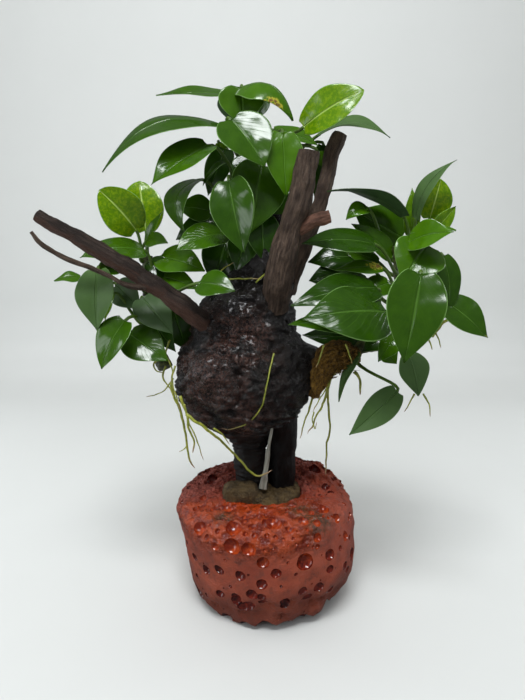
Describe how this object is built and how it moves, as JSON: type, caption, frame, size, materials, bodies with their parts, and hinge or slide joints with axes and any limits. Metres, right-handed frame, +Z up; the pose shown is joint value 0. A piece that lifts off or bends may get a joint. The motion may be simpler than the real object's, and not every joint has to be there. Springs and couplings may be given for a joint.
{
  "type": "anubias plant on driftwood in a stone base",
  "caption": "Aquarium plant with glossy heart-shaped leaves on gnarled driftwood, standing in a round pitted red stone base that rests on a flat surface",
  "frame": {"origin": "centre of the stone's flat underside", "axes": "+Z up along the stone's axis, -Y toward the front of the plant, +X to the viewer's right"},
  "size_m": [0.205, 0.0941, 0.2541],
  "materials": {
    "stone": "satin",
    "mortar": "matte",
    "wood": "satin",
    "branch": "satin",
    "bark": "matte",
    "leaf": "gloss",
    "lime_leaf": "gloss",
    "rhizome": "satin",
    "root": "satin"
  },
  "bodies": {
    "root": {"stone_base": "stone", "sand_mortar": "mortar", "driftwood_burl": "wood", "driftwood_right_column": "wood", "driftwood_left_branch": "branch", "driftwood_front_branch": "branch", "driftwood_back_branch": "branch", "driftwood_torn_bark": "bark", "driftwood_twig": "branch", "rhizome_top": "rhizome", "rhizome_left": "rhizome", "rhizome_right": "rhizome", "leaf_top_1": "leaf", "leaf_top_2": "leaf", "leaf_top_3": "leaf", "leaf_top_4": "leaf", "leaf_top_5": "leaf", "leaf_top_6": "leaf", "leaf_top_7": "leaf", "leaf_top_8": "leaf", "leaf_top_9": "leaf", "leaf_top_10": "leaf", "leaf_top_11": "leaf", "leaf_top_12": "leaf", "leaf_top_13": "lime_leaf", "leaf_top_14": "leaf", "leaf_top_15": "leaf", "leaf_left_1": "lime_leaf", "leaf_left_2": "lime_leaf", "leaf_left_3": "leaf", "leaf_left_4": "leaf", "leaf_left_5": "leaf", "leaf_left_6": "leaf", "leaf_left_7": "leaf", "leaf_left_8": "leaf", "leaf_left_9": "leaf", "leaf_left_10": "leaf", "leaf_left_11": "leaf", "leaf_left_12": "leaf", "leaf_right_1": "leaf", "leaf_right_2": "leaf", "leaf_right_3": "leaf", "leaf_right_4": "leaf", "leaf_right_5": "leaf", "leaf_right_6": "leaf", "leaf_right_7": "leaf", "leaf_right_8": "leaf", "leaf_right_9": "leaf", "leaf_right_10": "leaf", "leaf_right_11": "leaf", "leaf_right_12": "leaf", "leaf_right_13": "lime_leaf", "leaf_right_14": "leaf", "leaf_right_15": "leaf", "root_left_long": "root", "root_left_1": "root", "root_left_2": "root", "root_right_1": "root", "root_right_2": "root", "root_right_tip": "root"}
  },
  "joints": []
}
